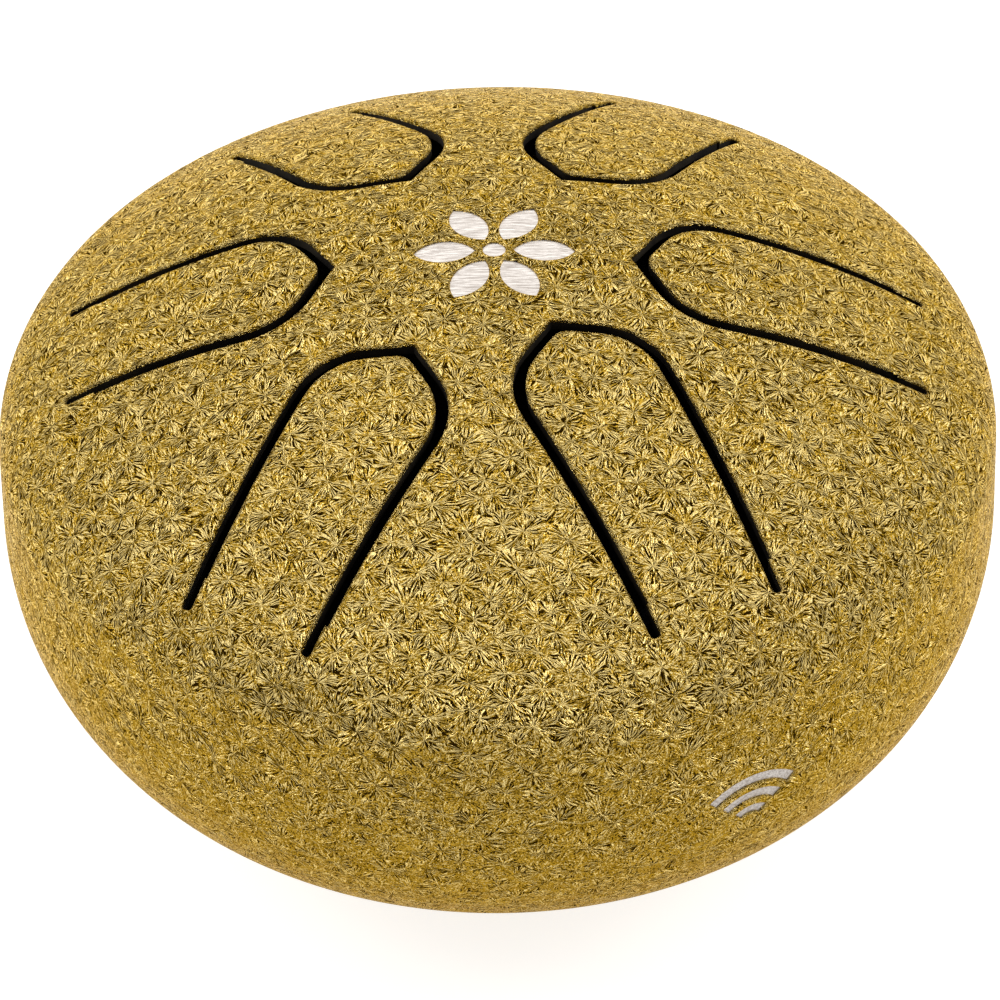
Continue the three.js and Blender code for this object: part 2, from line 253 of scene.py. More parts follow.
# ---------- turned surfaces ----------
def top_height(radius, inset=0.0):
    """Height of the dome and shoulder at a distance from the axis, inset from the outside."""
    if radius <= (DOME_SPHERE_RADIUS - inset) * math.sin(DOME_EDGE_SLOPE):
        return DOME_SPHERE_LEVEL + math.sqrt((DOME_SPHERE_RADIUS - inset) ** 2 - radius ** 2)
    across = min(radius - SHOULDER_CENTRE, SHOULDER_RADIUS - inset)
    return SHOULDER_LEVEL + math.sqrt((SHOULDER_RADIUS - inset) ** 2 - across ** 2)


def arc(centre, radius, start, end, steps):
    """Points (radius, height) on an arc, both ends included."""
    angles = [start + (end - start) * i / steps for i in range(steps + 1)]
    return [(centre[0] + radius * math.cos(a), centre[1] + radius * math.sin(a)) for a in angles]


def line(start, end, steps):
    """Points (radius, height) on a straight line, both ends included."""
    run, rise = end[0] - start[0], end[1] - start[1]
    return [(start[0] + run * i / steps, start[1] + rise * i / steps) for i in range(steps + 1)]


def wall_profile(inset):
    """Shoulder and wall from the edge of the plan mesh down to the weld."""
    start = math.acos((PLAN_RADIUS - SHOULDER_CENTRE) / (SHOULDER_RADIUS - inset))
    shoulder = arc((SHOULDER_CENTRE, SHOULDER_LEVEL), SHOULDER_RADIUS - inset, start, 0, SHOULDER_STEPS)
    side = DRUM_RADIUS - inset
    wall = line((side, SHOULDER_LEVEL), (side, SEAM_LEVEL + WELD_HALF_WIDTH), WALL_STEPS)
    return shoulder + wall[1:]


def bowl_profile(inset):
    """Bowl from the weld down to the sound hole."""
    side = DRUM_RADIUS - inset
    wall = line((side, SEAM_LEVEL - WELD_HALF_WIDTH), (side, BOWL_ARC_LEVEL), BOWL_WALL_STEPS)
    centre = (DRUM_RADIUS - BOWL_ARC_RADIUS, BOWL_ARC_LEVEL)
    corner = arc(centre, BOWL_ARC_RADIUS - inset, 0, -math.pi / 2, BOWL_ARC_STEPS)
    level = FLOOR_LEVEL + inset
    flat = line((corner[-1][0], level), (SOUND_HOLE_RADIUS + EDGE_ROUNDING, level), BOWL_FLOOR_STEPS)
    return wall[:-1] + corner + flat[1:]


class Builder:
    """Collects faces as corner positions, then welds them into one mesh."""

    def __init__(self):
        self.vertices = []
        self.faces = []
        self.materials = []

    def add(self, points, faces, material=0):
        """Faces given as indices into their own points."""
        base = len(self.vertices)
        self.vertices += [tuple(p) for p in points]
        self.faces += [[base + i for i in face] for face in faces]
        self.materials += [material] * len(faces)

    def strip(self, first, second, closed, material=0):
        """Quads between two rows of points."""
        count = len(first)
        spans = range(count if closed else count - 1)
        faces = [(i, (i + 1) % count, count + (i + 1) % count, count + i) for i in spans]
        self.add(list(first) + list(second), faces, material)

    def turn(self, profile, material=0, skip=None):
        """Surface of revolution; skip(column, row) leaves a face out."""
        rows = [ring(radius, height) for radius, height in profile]
        for row in range(len(rows) - 1):
            points = rows[row] + rows[row + 1]
            count = TURN_SEGMENTS
            columns = [c for c in range(count) if not (skip and skip(c, row))]
            faces = [(c, (c + 1) % count, count + (c + 1) % count, count + c) for c in columns]
            self.add(points, faces, material)

    def finish(self, name, materials, up_point=None):
        """Welds, turns every face outwards and makes the object; up_point lies on a face that looks up."""
        mesh = bpy.data.meshes.new(name)
        mesh.from_pydata(self.vertices, [], self.faces)
        for polygon, index in zip(mesh.polygons, self.materials):
            polygon.material_index = index
        edit = bmesh.new()
        edit.from_mesh(mesh)
        bmesh.ops.remove_doubles(edit, verts=edit.verts, dist=SAME_POINT)
        loose = [v for v in edit.verts if not v.link_faces]
        bmesh.ops.delete(edit, geom=loose, context="VERTS")
        bmesh.ops.recalc_face_normals(edit, faces=edit.faces)
        if up_point is not None:
            nearest = min(edit.faces, key=lambda f: (f.calc_center_median() - Vector(up_point)).length)
            if nearest.normal.z < 0:
                bmesh.ops.reverse_faces(edit, faces=edit.faces)
        edit.to_mesh(mesh)
        edit.free()
        for polygon in mesh.polygons:
            polygon.use_smooth = True
        mesh.set_sharp_from_angle(angle=SHARP_ANGLE)
        piece = bpy.data.objects.new(name, mesh)
        bpy.context.scene.collection.objects.link(piece)
        for material in materials:
            mesh.materials.append(material)
        return piece


def ring(radius, height):
    """Points of one turned ring."""
    turns = [2 * math.pi * i / TURN_SEGMENTS for i in range(TURN_SEGMENTS)]
    return [(radius * math.cos(a), radius * math.sin(a), height) for a in turns]


# ---------- outlines in plan ----------
def rounded(corners, step=OUTLINE_STEP):
    """Closed outline from (x, y, fillet radius) corners, and each corner's middle point index."""
    points, middles = [], []
    count = len(corners)
    for i, (x, y, radius) in enumerate(corners):
        here = Vector((x, y))
        before = (Vector(corners[i - 1][:2]) - here).normalized()
        after = (Vector(corners[(i + 1) % count][:2]) - here).normalized()
        turn = before.angle(after)
        if radius == 0 or turn > STRAIGHT_CORNER:
            fillet = [here]
        else:
            reach = radius / math.tan(turn / 2)
            centre = here + (before + after).normalized() * radius / math.sin(turn / 2)
            start = here + before * reach - centre
            sweep = math.pi - turn
            side = -1 if before.cross(after) > 0 else 1
            steps = max(2, 2 * math.ceil(sweep / ARC_STEP / 2))
            angles = [side * sweep * k / steps for k in range(steps + 1)]
            fillet = [centre + (Matrix.Rotation(angle, 2) @ start) for angle in angles]
        if points:
            points += between(points[-1], fillet[0], step)
        middles.append(len(points) + len(fillet) // 2)
        points += fillet
    points += between(points[-1], points[0], step)
    return points, middles


def between(start, end, step):
    """Evenly spaced points strictly between two points."""
    spans = max(1, math.ceil((end - start).length / step))
    return [start.lerp(end, i / spans) for i in range(1, spans)]


def grown(points, distance):
    """The closed outline moved to its left by a distance."""
    moved = []
    count = len(points)
    for i, here in enumerate(points):
        before = (here - points[i - 1]).normalized()
        after = (points[(i + 1) % count] - here).normalized()
        left = Vector((-before.y - after.y, before.x + after.x)).normalized()
        lean = max(LEAST_LEAN, left.dot(Vector((-after.y, after.x))))
        moved.append(here + left * distance / lean)
    return moved


def inside(points, outline):
    """Which points (n x 2) lie inside a closed outline."""
    polygon = np.array([tuple(p) for p in outline])
    x, y = points[:, 0], points[:, 1]
    result = np.zeros(len(points), bool)
    for (x0, y0), (x1, y1) in zip(polygon, np.roll(polygon, -1, axis=0)):
        crosses = (y0 > y) != (y1 > y)
        if y0 != y1:
            result ^= crosses & (x < (x1 - x0) * (y - y0) / (y1 - y0) + x0)
    return result


class Tongue:
    """One tongue's place, read from its joint and its CAD node."""

    def __init__(self, joint):
        self.node = joint["name"].replace("_flex", "")
        self.parent = joint["parent"]
        self.body = joint["child"]
        self.root = Vector(joint["pos_m"])
        self.out = Vector((self.root.x, self.root.y)).normalized()
        self.side = Vector((-self.out.y, self.out.x))
        self.end = Vector((self.root.x, self.root.y)).length
        reach = min(v.co.xy.dot(self.out) for v in frame["nodes"][self.node].data.vertices)
        rounding = TONGUE_TIP_RADIUS * (1 / math.sin(TIP_FLANK_ANGLE) - 1)
        self.tip = reach - rounding - SLOT_WIDTH / math.sin(TIP_FLANK_ANGLE)

    def plan(self, local):
        """Local (outwards, sideways) points as plan points."""
        return [self.out * p.x + self.side * p.y for p in local]

    def half_width(self, distance):
        """Half the width across the slot's outside at a distance from the axis."""
        rise = (ARCH_HALF_WIDTH - ARCH_CORNER_RADIUS) * math.cos(TIP_FLANK_ANGLE)
        base = self.tip + (ARCH_CORNER_RADIUS + rise) / math.sin(TIP_FLANK_ANGLE)
        return ARCH_HALF_WIDTH - LEG_TAPER * (distance - base)

    def arch_corner(self, inset):
        """Where a flank of the tip would meet its leg, as (outwards, sideways)."""
        tip = self.tip + inset / math.sin(TIP_FLANK_ANGLE)
        slope = math.tan(TIP_FLANK_ANGLE)
        level = self.half_width(0) - inset
        distance = (level + slope * tip) / (slope + LEG_TAPER)
        return distance, self.half_width(distance) - inset

    def slot(self):
        """The U-shaped slot as a closed outline with the metal on its left, and where the tongue's side of it
        starts and ends."""
        step = self.end - KERF_LENGTH
        outer_u, outer_v = self.arch_corner(0)
        inner_u, inner_v = self.arch_corner(SLOT_WIDTH)
        wide_end = self.half_width(self.end)
        wide_step = self.half_width(step)
        inner_radius = ARCH_CORNER_RADIUS - SLOT_WIDTH
        corners = [
            (self.end, -wide_end, SLOT_END_RADIUS),
            (outer_u, -outer_v, ARCH_CORNER_RADIUS),
            (self.tip, 0, 0),
            (outer_u, outer_v, ARCH_CORNER_RADIUS),
            (step, wide_step, 0),
            (step, wide_step - KERF_STEP_LEFT, 0),
            (self.end, wide_end - KERF_STEP_LEFT, SLOT_END_RADIUS),
            (self.end, wide_end - SLOT_WIDTH, SLOT_END_RADIUS),
            (inner_u, inner_v, inner_radius),
            (self.tip + SLOT_WIDTH / math.sin(TIP_FLANK_ANGLE), 0, TONGUE_TIP_RADIUS),
            (inner_u, -inner_v, inner_radius),
            (step, SLOT_WIDTH - wide_step, 0),
            (step, SLOT_WIDTH - wide_step - KERF_STEP_RIGHT, 0),
            (self.end, SLOT_WIDTH - wide_end - KERF_STEP_RIGHT, SLOT_END_RADIUS),
        ]
        local, middles = rounded(corners)
        return local, (middles[7], middles[13])


def petal_outline(turn):
    """One pointed petal, clockwise, so that the coating is on its left."""
    length = PETAL_OUTER_RADIUS - PETAL_INNER_RADIUS
    middle = (PETAL_OUTER_RADIUS + PETAL_INNER_RADIUS) / 2
    radius = (length ** 2 / 4 + PETAL_HALF_WIDTH ** 2) / (2 * PETAL_HALF_WIDTH)
    half = math.asin(length / 2 / radius)
    rise = radius - PETAL_HALF_WIDTH
    quarter = math.pi / 2
    right = arc((middle, rise), radius, -quarter + half, -quarter - half, PETAL_STEPS)
    left = arc((middle, -rise), radius, quarter + half, quarter - half, PETAL_STEPS)
    spin = Matrix.Rotation(turn, 2)
    return [spin @ Vector(p) for p in right[:-1] + left[:-1]]


def disk_outline(radius):
    """A circle, clockwise."""
    return [Vector(p) for p in arc((0, 0), radius, 0, -2 * math.pi, DISK_STEPS)[:-1]]


def rosette_outlines():
    """The rosette's middle disk and its petals."""
    petals = [petal_outline(2 * math.pi * i / ROSETTE_PETALS) for i in range(ROSETTE_PETALS)]
    return [disk_outline(ROSETTE_CENTRE_RADIUS)] + petals


def stroke_outline(radius):
    """One arc of the side mark, clockwise."""
    outer = radius + SIDE_MARK_STROKE / 2
    inner = radius - SIDE_MARK_STROKE / 2
    start = math.pi / 2 + SIDE_MARK_HALF_ANGLE
    end = math.pi / 2 - SIDE_MARK_HALF_ANGLE
    there = arc((0, 0), outer, start, end, STROKE_STEPS)
    back = arc((0, 0), inner, end, start, STROKE_STEPS)
    return [Vector(p) for p in there + back]


# ---------- plan meshing ----------
def hexagonal_grid(reach_x, reach_y, step):
    """Staggered points covering a rectangle about the origin."""
    rise = step * math.sqrt(3) / 2
    rows = int(reach_y / rise)
    columns = int(reach_x / step) + 1
    grid = []
    for row in range(-rows, rows + 1):
        shift = step / 2 if row % 2 else 0
        grid += [(column * step + shift, row * rise) for column in range(-columns, columns + 1)]
    return np.array(grid)


def clear_of(points, outlines, gap):
    """Points at least a gap away from every outline's points."""
    keep = np.ones(len(points), bool)
    for outline in outlines:
        for p in outline:
            keep &= (points[:, 0] - p.x) ** 2 + (points[:, 1] - p.y) ** 2 > gap ** 2
    return points[keep]


def triangulated(outlines, open_lines, fill):
    """Triangles over closed outlines, open lines and fill points.

    Gives the points, the triangles, and where each input point ended up."""
    points, edges = [], []
    for outline in outlines:
        base = len(points)
        points += outline
        edges += [(base + i, base + (i + 1) % len(outline)) for i in range(len(outline))]
    for line in open_lines:
        base = len(points)
        points += line
        edges += [(base + i, base + i + 1) for i in range(len(line) - 1)]
    points += [Vector(p) for p in fill]
    out, _, faces, origin, _, _ = delaunay_2d_cdt(points, edges, [], 0, PLAN_SAME_POINT)
    where = {}
    for index, sources in enumerate(origin):
        for source in sources:
            where[source] = index
    return out, faces, where


def above(point, inset=0.0, drop=0.0):
    """A plan point lifted onto the dome."""
    return (point.x, point.y, top_height(point.length, inset) - drop)


def edge_rows(outline):
    """Rows that round a cut edge over from the dome's face into the cut."""
    rows = []
    for k in range(EDGE_STEPS + 1):
        angle = math.pi / 2 * k / EDGE_STEPS
        row = grown(outline, EDGE_ROUNDING * (1 - math.sin(angle)))
        rows.append([above(p, 0, EDGE_ROUNDING * (1 - math.cos(angle))) for p in row])
    return rows


def mark_rows(outline, lift):
    """Rows from the coating's face down past the bare steel; lift places a point at a depth."""
    return [
        [lift(p, 0) for p in grown(outline, MARK_EDGE)],
        [lift(p, MARK_LIP) for p in grown(outline, MARK_LIP)],
        [lift(p, MARK_EDGE) for p in outline],
        [lift(p, MARK_DEPTH + MARK_WALL_EXTRA) for p in outline],
    ]


def face_centres(points, faces):
    """The middle of each face, as an n x 2 array."""
    return np.array([tuple(sum((points[i] for i in face), Vector((0, 0))) / len(face)) for face in faces])


def inside_any(centres, outlines):
    """Which of the centres lie inside at least one of the outlines."""
    found = np.zeros(len(centres), bool)
    for outline in outlines:
        found |= inside(centres, outline)
    return found


class TopPlan:
    """The dome in plan: its slots and marks, its triangles, and the piece that owns each triangle."""

    def __init__(self, tongues):
        circle = [Vector(p[:2]) for p in ring(PLAN_RADIUS, 0)]
        slots = [tongue.slot() for tongue in tongues]
        self.loops = [tongue.plan(local) for tongue, (local, _) in zip(tongues, slots)]
        self.ends = [ends for _, ends in slots]
        self.marks = rosette_outlines()
        self.rims = [grown(loop, EDGE_ROUNDING) for loop in self.loops]
        mark_rims = [grown(mark, MARK_EDGE) for mark in self.marks]
        roots = [self.root_line(n) for n in range(len(tongues))]
        closed = [circle] + self.rims + mark_rims
        grid = hexagonal_grid(PLAN_RADIUS, PLAN_RADIUS, GRID_STEP)
        grid = grid[np.hypot(grid[:, 0], grid[:, 1]) < PLAN_RADIUS - GRID_STEP / 2]
        fill = clear_of(grid, closed + roots, GRID_STEP * PLAN_CLEARANCE)
        self.points, self.faces, where = triangulated(closed, roots, fill)
        self.under = self.inside_face(where, len(circle))
        self.find_owners(mark_rims)

    def root_line(self, n):
        """The line across a tongue's root, from one end of its slot to the other."""
        first, last = self.ends[n]
        start, end = self.rims[n][last], self.rims[n][first]
        return [start] + between(start, end, GRID_STEP) + [end]

    def inside_face(self, where, base):
        """The sheet's inside face, whose cut edges lie straight under the slot, not under the rounding."""
        under = list(self.points)
        for loop in self.loops:
            for i, p in enumerate(loop):
                under[where[base + i]] = p
            base += len(loop)
        return under

    def find_owners(self, mark_rims):
        """Which triangles lie in a slot or a mark, and which piece owns each."""
        centres = face_centres(self.points, self.faces)
        self.in_void = inside_any(centres, self.rims)
        self.in_mark = inside_any(centres, mark_rims)
        self.owner = np.full(len(self.faces), SHELL_OWNER)
        for n, (rim, (first, last)) in enumerate(zip(self.rims, self.ends)):
            self.owner[inside(centres, rim[first:last + 1]) & ~self.in_void] = n

    def tongue_side(self, n):
        """Indices of a slot's points on the tongue."""
        first, last = self.ends[n]
        return list(range(first, last + 1))

    def shell_side(self, n):
        """Indices of a slot's points on the shell."""
        first, last = self.ends[n]
        return list(range(last, len(self.loops[n]))) + list(range(0, first + 1))


def add_sheet(builder, plan, owner):
    """One owner's share of the dome's outside face, and of its inside face, which is painted dark as shade.
    """
    mine = [i for i in range(len(plan.faces)) if plan.owner[i] == owner and not plan.in_void[i]]
    builder.add([above(p) for p in plan.points], [plan.faces[i] for i in mine if not plan.in_mark[i]])
    # the inside faces get the near-black painted shade
    builder.add([above(p, SHEET) for p in plan.under], [plan.faces[i][::-1] for i in mine], SHADE_PAINTED)


def add_slot_wall(builder, loop, chosen):
    """The chosen part of a slot's rounded edge and wall, coated above and painted dark below as shade."""
    rows = edge_rows(loop)
    rows.append([above(p, 0, WALL_COAT_DEPTH) for p in loop])
    rows.append([above(p, SHEET) for p in loop])
    for upper, lower in zip(rows, rows[1:]):
        finish = SHADE_PAINTED if lower is rows[-1] else COATED
        builder.strip([upper[i] for i in chosen], [lower[i] for i in chosen], False, finish)


def add_mark_wall(builder, mark, lift):
    """The cut through the coating round one outline of a mark."""
    rows = mark_rows(mark, lift)
    for upper, lower in zip(rows, rows[1:]):
        builder.strip(upper, lower, True)


def build_shell(plan, coat, shade_painted_inside):
    """The upper shell, open at the slots and at the rosette."""
    builder = Builder()
    add_sheet(builder, plan, SHELL_OWNER)
    for n, loop in enumerate(plan.loops):
        add_slot_wall(builder, loop, plan.shell_side(n))
    for mark in plan.marks:
        add_mark_wall(builder, mark, above)
    builder.turn(wall_profile(0))
    # the shoulder's inside and the weld's edge get the painted shade
    builder.turn(wall_profile(SHEET), SHADE_PAINTED)
    low = SEAM_LEVEL + WELD_HALF_WIDTH
    builder.strip(ring(DRUM_RADIUS, low), ring(DRUM_RADIUS - SHEET, low), True, SHADE_PAINTED)
    beside_rosette = Vector((0, 9 * MM))
    return builder.finish("upper_shell_coated", [coat, shade_painted_inside], above(beside_rosette))


def build_plate(plan, n, tongue, coat, shade_painted_inside):
    """One tongue, parted from the shell along its root."""
    builder = Builder()
    add_sheet(builder, plan, n)
    add_slot_wall(builder, plan.loops[n], plan.tongue_side(n))
    middle = tongue.out * (tongue.tip + tongue.end) / 2
    return builder.finish(tongue.node + "_coated", [coat, shade_painted_inside], above(middle))


def build_steel_patch(name, outlines, lift, step, material):
    """The bare steel that shows inside the marks."""
    builder = Builder()
    for outline in outlines:
        edge = grown(outline, STEEL_OVERLAP)
        reach = np.abs(np.array([tuple(p) for p in edge])).max()
        grid = hexagonal_grid(reach, reach, step)
        grid = grid[inside(grid, edge)]
        fill = clear_of(grid, [edge], step * PATCH_CLEARANCE)
        points, faces, _ = triangulated([edge], [], fill)
        kept = [face for face, keep in zip(faces, inside(face_centres(points, faces), edge)) if keep]
        builder.add([lift(p, MARK_DEPTH) for p in points], kept)
    return builder.finish(name, [material])


# ---------- bowl ----------
def bowl_point(along, depth_down, inset):
    """A point on the bowl: distance round the wall, distance down the meridian from the seam, inset."""
    azimuth = SIDE_MARK_AZIMUTH + along / DRUM_RADIUS
    if depth_down <= BOWL_STRAIGHT:
        radius, height = DRUM_RADIUS - inset, SEAM_LEVEL - depth_down
    else:
        angle = (depth_down - BOWL_STRAIGHT) / BOWL_ARC_RADIUS
        radius = DRUM_RADIUS - BOWL_ARC_RADIUS + (BOWL_ARC_RADIUS - inset) * math.cos(angle)
        height = BOWL_ARC_LEVEL - (BOWL_ARC_RADIUS - inset) * math.sin(angle)
    return (radius * math.cos(azimuth), radius * math.sin(azimuth), height)


def bowl_depth(radius, height):
    """Distance down the meridian from the seam to a point of the bowl's profile."""
    if height >= BOWL_ARC_LEVEL:
        return SEAM_LEVEL - height
    angle = math.atan2(BOWL_ARC_LEVEL - height, radius - (DRUM_RADIUS - BOWL_ARC_RADIUS))
    return BOWL_STRAIGHT + angle * BOWL_ARC_RADIUS


def mark_place(point, depth):
    """A side mark's plan point on the bowl."""
    return bowl_point(point.x, SIDE_MARK_DROP - point.y, depth)


def patch_border(across, up):
    """Closed outline of the mark's patch, from its column and row positions."""
    border = [Vector((x, up[0])) for x in across]
    border += [Vector((across[-1], y)) for y in up[1:]]
    border += [Vector((x, up[-1])) for x in reversed(across[:-1])]
    border += [Vector((across[0], y)) for y in reversed(up[1:-1])]
    return border


def add_mark_patch(builder, across, up):
    """The piece of the bowl's outside that the side mark is cut into."""
    border = patch_border(across, up)
    marks = [stroke_outline(radius) for radius in SIDE_MARK_ARC_RADII]
    rims = [grown(mark, MARK_EDGE) for mark in marks]
    grid = hexagonal_grid(across[-1], SIDE_MARK_DROP, PATCH_STEP)
    grid = grid[inside(grid, border)]
    fill = clear_of(grid, [border] + rims, PATCH_STEP * PATCH_CLEARANCE)
    points, faces, _ = triangulated([border] + rims, [], fill)
    centres = face_centres(points, faces)
    keep = inside(centres, border) & ~inside_any(centres, rims)
    builder.add([mark_place(p, 0) for p in points], [face for face, kept in zip(faces, keep) if kept])
    for mark in marks:
        add_mark_wall(builder, mark, mark_place)


def build_bowl(coat, shade_painted_inside):
    """The lower shell. The patch that carries the side mark is meshed on its own, not turned."""
    builder = Builder()
    profile = bowl_profile(0)
    depths = [bowl_depth(radius, height) for radius, height in profile]
    patch_top = SIDE_MARK_DROP - SIDE_MARK_PATCH_HEIGHT
    rows = [row for row, depth in enumerate(depths) if patch_top < depth < SIDE_MARK_DROP]
    segment = 2 * math.pi / TURN_SEGMENTS
    middle = round(SIDE_MARK_AZIMUTH / segment)
    half = SIDE_MARK_PATCH_HALF_COLUMNS
    in_patch = {(middle + c) % TURN_SEGMENTS for c in range(-half, half)}
    builder.turn(profile, COATED, lambda column, row: column in in_patch and rows[0] <= row < rows[-1])
    columns = [(middle + c) * segment - SIDE_MARK_AZIMUTH for c in range(-half, half + 1)]
    across = [a * DRUM_RADIUS for a in columns]
    up = [SIDE_MARK_DROP - depths[row] for row in range(rows[0], rows[-1] + 1)]
    add_mark_patch(builder, across, up)

    hole_corner = (SOUND_HOLE_RADIUS + EDGE_ROUNDING, FLOOR_LEVEL + EDGE_ROUNDING)
    hole_edge = arc(hole_corner, EDGE_ROUNDING, -math.pi / 2, -math.pi, HOLE_EDGE_STEPS)
    hole_top = (SOUND_HOLE_RADIUS, FLOOR_LEVEL + SHEET)
    builder.turn(hole_edge + [hole_top])
    # the bowl's inside gets the painted shade
    builder.turn([hole_top] + bowl_profile(SHEET)[::-1], SHADE_PAINTED)
    high = SEAM_LEVEL - WELD_HALF_WIDTH
    builder.strip(ring(DRUM_RADIUS, high), ring(DRUM_RADIUS - SHEET, high), True, SHADE_PAINTED)
    return builder.finish("lower_shell_coated", [coat, shade_painted_inside])


def build_weld(coat):
    """The seam's ground bead, flush with the wall."""
    builder = Builder()
    low, high = SEAM_LEVEL - WELD_HALF_WIDTH, SEAM_LEVEL + WELD_HALF_WIDTH
    inner = DRUM_RADIUS - SHEET
    outside = line((DRUM_RADIUS, high), (DRUM_RADIUS, low), WELD_STEPS)
    bead_centre = (inner + BEAD_SHIFT, SEAM_LEVEL)
    bead = arc(bead_centre, BEAD_RADIUS, -math.pi / 2, -3 * math.pi / 2, BEAD_STEPS)
    builder.turn(outside + [(inner, low)] + bead + [(inner, high), (DRUM_RADIUS, high)])
    return builder.finish("seam_weld_bead", [coat])


def build_foot(node, material):
    """Push-in rubber foot: rounded head with a sunk middle, neck and barb."""
    low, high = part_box(node)
    centre = (low + high) / 2
    head = (high.x - low.x) / 2
    recess_level = low.z + FOOT_RECESS_DEPTH
    low_corner = (head - FOOT_LOW_CORNER, low.z + FOOT_LOW_CORNER)
    high_corner = (head - FOOT_HIGH_CORNER, FLOOR_LEVEL - FOOT_HIGH_CORNER)
    floor_top = FLOOR_LEVEL + SHEET
    profile = [(0, recess_level), (FOOT_RECESS_FLOOR, recess_level), (FOOT_RECESS_RIM, low.z)]
    profile += arc(low_corner, FOOT_LOW_CORNER, -math.pi / 2, 0, FOOT_LOW_STEPS)
    profile += arc(high_corner, FOOT_HIGH_CORNER, 0, math.pi / 2, FOOT_HIGH_STEPS)
    profile += [(FOOT_NECK_RADIUS, FLOOR_LEVEL), (FOOT_NECK_RADIUS, floor_top)]
    profile += [(FOOT_BARB_RADIUS, floor_top + FOOT_BARB_RISE)]
    profile += [(FOOT_NECK_RADIUS * FOOT_STEM_TAPER, high.z), (0, high.z)]
    builder = Builder()
    builder.turn(profile)
    builder.vertices = [(x + centre.x, y + centre.y, z) for x, y, z in builder.vertices]
    return builder.finish(node + "_rubber", [material])


# ---------- materials ----------
class Shader:
    """Short calls for building a node tree."""

    def __init__(self, name):
        self.material = bpy.data.materials.new(name)
        self.material.use_nodes = True
        self.tree = self.material.node_tree
        self.surface = self.tree.nodes["Principled BSDF"]

    def put(self, socket, value):
        """Links another node's output, or sets a plain value."""
        if isinstance(value, bpy.types.NodeSocket):
            self.tree.links.new(value, socket)
        else:
            socket.default_value = value

    def node(self, kind, settings=None, **inputs):
        made = self.tree.nodes.new(kind)
        for key, value in (settings or {}).items():
            setattr(made, key, value)
        for key, value in inputs.items():
            self.put(made.inputs[key.replace("_", " ")], value)
        return made

    def math(self, operation, *values):
        made = self.tree.nodes.new("ShaderNodeMath")
        made.operation = operation
        for socket, value in zip(made.inputs, values):
            self.put(socket, value)
        return made.outputs[0]

    def vector(self, operation, *values, output="Vector"):
        made = self.tree.nodes.new("ShaderNodeVectorMath")
        made.operation = operation
        for socket, value in zip(made.inputs, values):
            self.put(socket, value)
        return made.outputs[output]

    def scaled(self, vector, factor):
        made = self.tree.nodes.new("ShaderNodeVectorMath")
        made.operation = "SCALE"
        self.put(made.inputs[0], vector)
        self.put(made.inputs["Scale"], factor)
        return made.outputs[0]

    def ramp(self, value, low, high, start=0.0, end=1.0):
        """Goes smoothly from start to end as the value goes from low to high."""
        made = self.node("ShaderNodeMapRange", {"interpolation_type": "SMOOTHSTEP"}, Value=value)
        for name, number in (("From Min", low), ("From Max", high), ("To Min", start), ("To Max", end)):
            made.inputs[name].default_value = number
        return made.outputs["Result"]

    def mix(self, factor, first, second):
        made = self.tree.nodes.new("ShaderNodeMix")
        made.data_type = "RGBA"
        self.put(made.inputs[0], factor)
        self.put(made.inputs[6], first)
        self.put(made.inputs[7], second)
        return made.outputs[2]

    def noise(self, vector, scale, detail=2.0, roughness=0.5):
        """Noise from 0 to 1, with scale as details per millimetre."""
        made = self.node("ShaderNodeTexNoise", None, Vector=vector, Scale=scale, Detail=detail)
        made.inputs["Roughness"].default_value = roughness
        return made.outputs[0]

    def millimetres(self):
        """The surface point in millimetres, riding with the piece."""
        place = self.tree.nodes.new("ShaderNodeTexCoord").outputs["Object"]
        return self.scaled(place, 1 / MM)


def star_wrinkles(shader, place):
    """Ridges fanning out from scattered star centres, and the raised creases that join the centres.

    Gives the ridges (about 0 to 1), the creases (0 to 1) and the distance from the nearest centre."""
    cloud = shader.node("ShaderNodeTexNoise", None, Vector=place, Scale=DRIFT_PER_MM, Detail=2.0)
    drift = cloud.outputs["Color"]
    bent = shader.vector("ADD", place, shader.scaled(drift, STAR_DRIFT))
    nearest = shader.node("ShaderNodeTexVoronoi", None, Vector=bent, Scale=STARS_PER_MM)
    second = shader.node("ShaderNodeTexVoronoi", {"feature": "F2"}, Vector=bent, Scale=STARS_PER_MM)
    normal = shader.tree.nodes.new("ShaderNodeNewGeometry").outputs["Normal"]

    def flattened(vector):
        lift = shader.scaled(normal, shader.vector("DOT_PRODUCT", vector, normal, output="Value"))
        return shader.vector("SUBTRACT", vector, lift)

    offset = flattened(shader.vector("SUBTRACT", bent, nearest.outputs["Position"]))
    span = flattened(shader.vector("SUBTRACT", second.outputs["Position"], nearest.outputs["Position"]))
    distance = shader.vector("LENGTH", offset, output="Value")
    direction = shader.vector("NORMALIZE", offset)
    seed = shader.scaled(nearest.outputs["Color"], SEED_SPREAD)
    breaks = shader.math("MULTIPLY", distance, RIDGE_BREAKS)

    def fan(ridges):
        spread = shader.scaled(direction, shader.math("ADD", breaks, ridges))
        return shader.noise(shader.vector("ADD", spread, seed), 1.0, 0.0)

    outwards = shader.ramp(distance, FORK_START, FORK_END)
    inner = shader.math("MULTIPLY", fan(INNER_RIDGES), shader.math("SUBTRACT", 1.0, outwards))
    ridges = shader.math("ADD", inner, shader.math("MULTIPLY", fan(OUTER_RIDGES), outwards))

    beside = shader.vector("CROSS_PRODUCT", offset, shader.vector("NORMALIZE", span))
    beside = shader.vector("LENGTH", beside, output="Value")
    crease = shader.ramp(beside, 0.0, CREASE_HALF_WIDTH, 1.0, 0.0)
    kept = shader.ramp(shader.noise(place, CREASE_PATCHES_PER_MM, 1.0), 0.42, 0.56)
    return ridges, shader.math("MULTIPLY", crease, kept), distance


